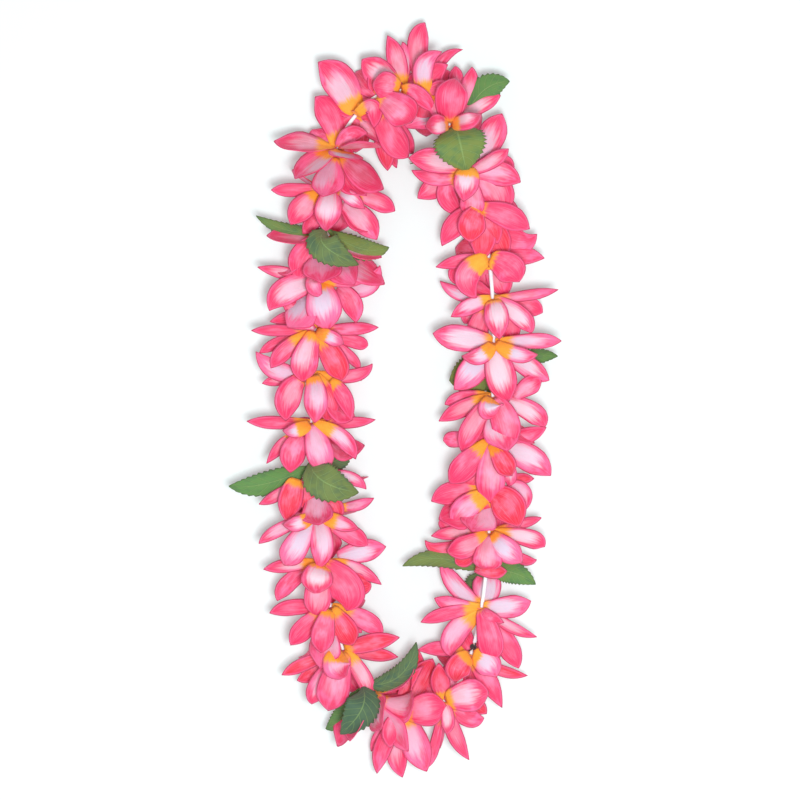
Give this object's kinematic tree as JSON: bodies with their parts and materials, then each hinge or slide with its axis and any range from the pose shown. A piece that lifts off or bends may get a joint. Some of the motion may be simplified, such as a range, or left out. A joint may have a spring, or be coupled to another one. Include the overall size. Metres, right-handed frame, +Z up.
{
  "type": "flower lei",
  "caption": "Fabric flower lei laid out as a long loop: two-layered pink petals with orange throats and serrated green leaf whorls, threaded on a sleeved cord.",
  "frame": {"origin": "on the surface that the lei lies on, under the middle of its outline", "axes": "+Z up from the surface, +Y along the loop's long axis towards the end where the throats face each other, +X across the loop"},
  "size_m": [0.2208, 0.4875, 0.0681],
  "materials": {
    "petal_fabric": "matte",
    "leaf_fabric": "matte",
    "sleeve_plastic": "satin",
    "cord_fibre": "matte",
    "knot_thread": "matte"
  },
  "bodies": {
    "root": {"bloom_01": "petal_fabric", "bloom_02": "petal_fabric", "bloom_03": "petal_fabric", "bloom_04": "petal_fabric", "bloom_05": "petal_fabric", "bloom_06": "petal_fabric", "bloom_07": "petal_fabric", "bloom_08": "petal_fabric", "bloom_09": "petal_fabric", "bloom_10": "petal_fabric", "bloom_11": "petal_fabric", "bloom_12": "petal_fabric", "bloom_13": "petal_fabric", "bloom_14": "petal_fabric", "bloom_15": "petal_fabric", "bloom_16": "petal_fabric", "bloom_17": "petal_fabric", "bloom_18": "petal_fabric", "bloom_19": "petal_fabric", "bloom_20": "petal_fabric", "bloom_21": "petal_fabric", "bloom_22": "petal_fabric", "bloom_23": "petal_fabric", "bloom_24": "petal_fabric", "bloom_25": "petal_fabric", "bloom_26": "petal_fabric", "bloom_27": "petal_fabric", "bloom_28": "petal_fabric", "bloom_29": "petal_fabric", "bloom_30": "petal_fabric", "bloom_31": "petal_fabric", "leaf_whorl_01": "leaf_fabric", "leaf_whorl_02": "leaf_fabric", "leaf_whorl_03": "leaf_fabric", "leaf_whorl_04": "leaf_fabric", "leaf_whorl_05": "leaf_fabric", "leaf_whorl_06": "leaf_fabric", "sleeve_01": "sleeve_plastic", "sleeve_02": "sleeve_plastic", "sleeve_03": "sleeve_plastic", "sleeve_04": "sleeve_plastic", "sleeve_05": "sleeve_plastic", "sleeve_06": "sleeve_plastic", "sleeve_07": "sleeve_plastic", "sleeve_08": "sleeve_plastic", "sleeve_09": "sleeve_plastic", "sleeve_10": "sleeve_plastic", "sleeve_11": "sleeve_plastic", "sleeve_12": "sleeve_plastic", "sleeve_13": "sleeve_plastic", "sleeve_14": "sleeve_plastic", "sleeve_15": "sleeve_plastic", "sleeve_16": "sleeve_plastic", "cord": "cord_fibre", "knot": "knot_thread"}
  },
  "joints": []
}
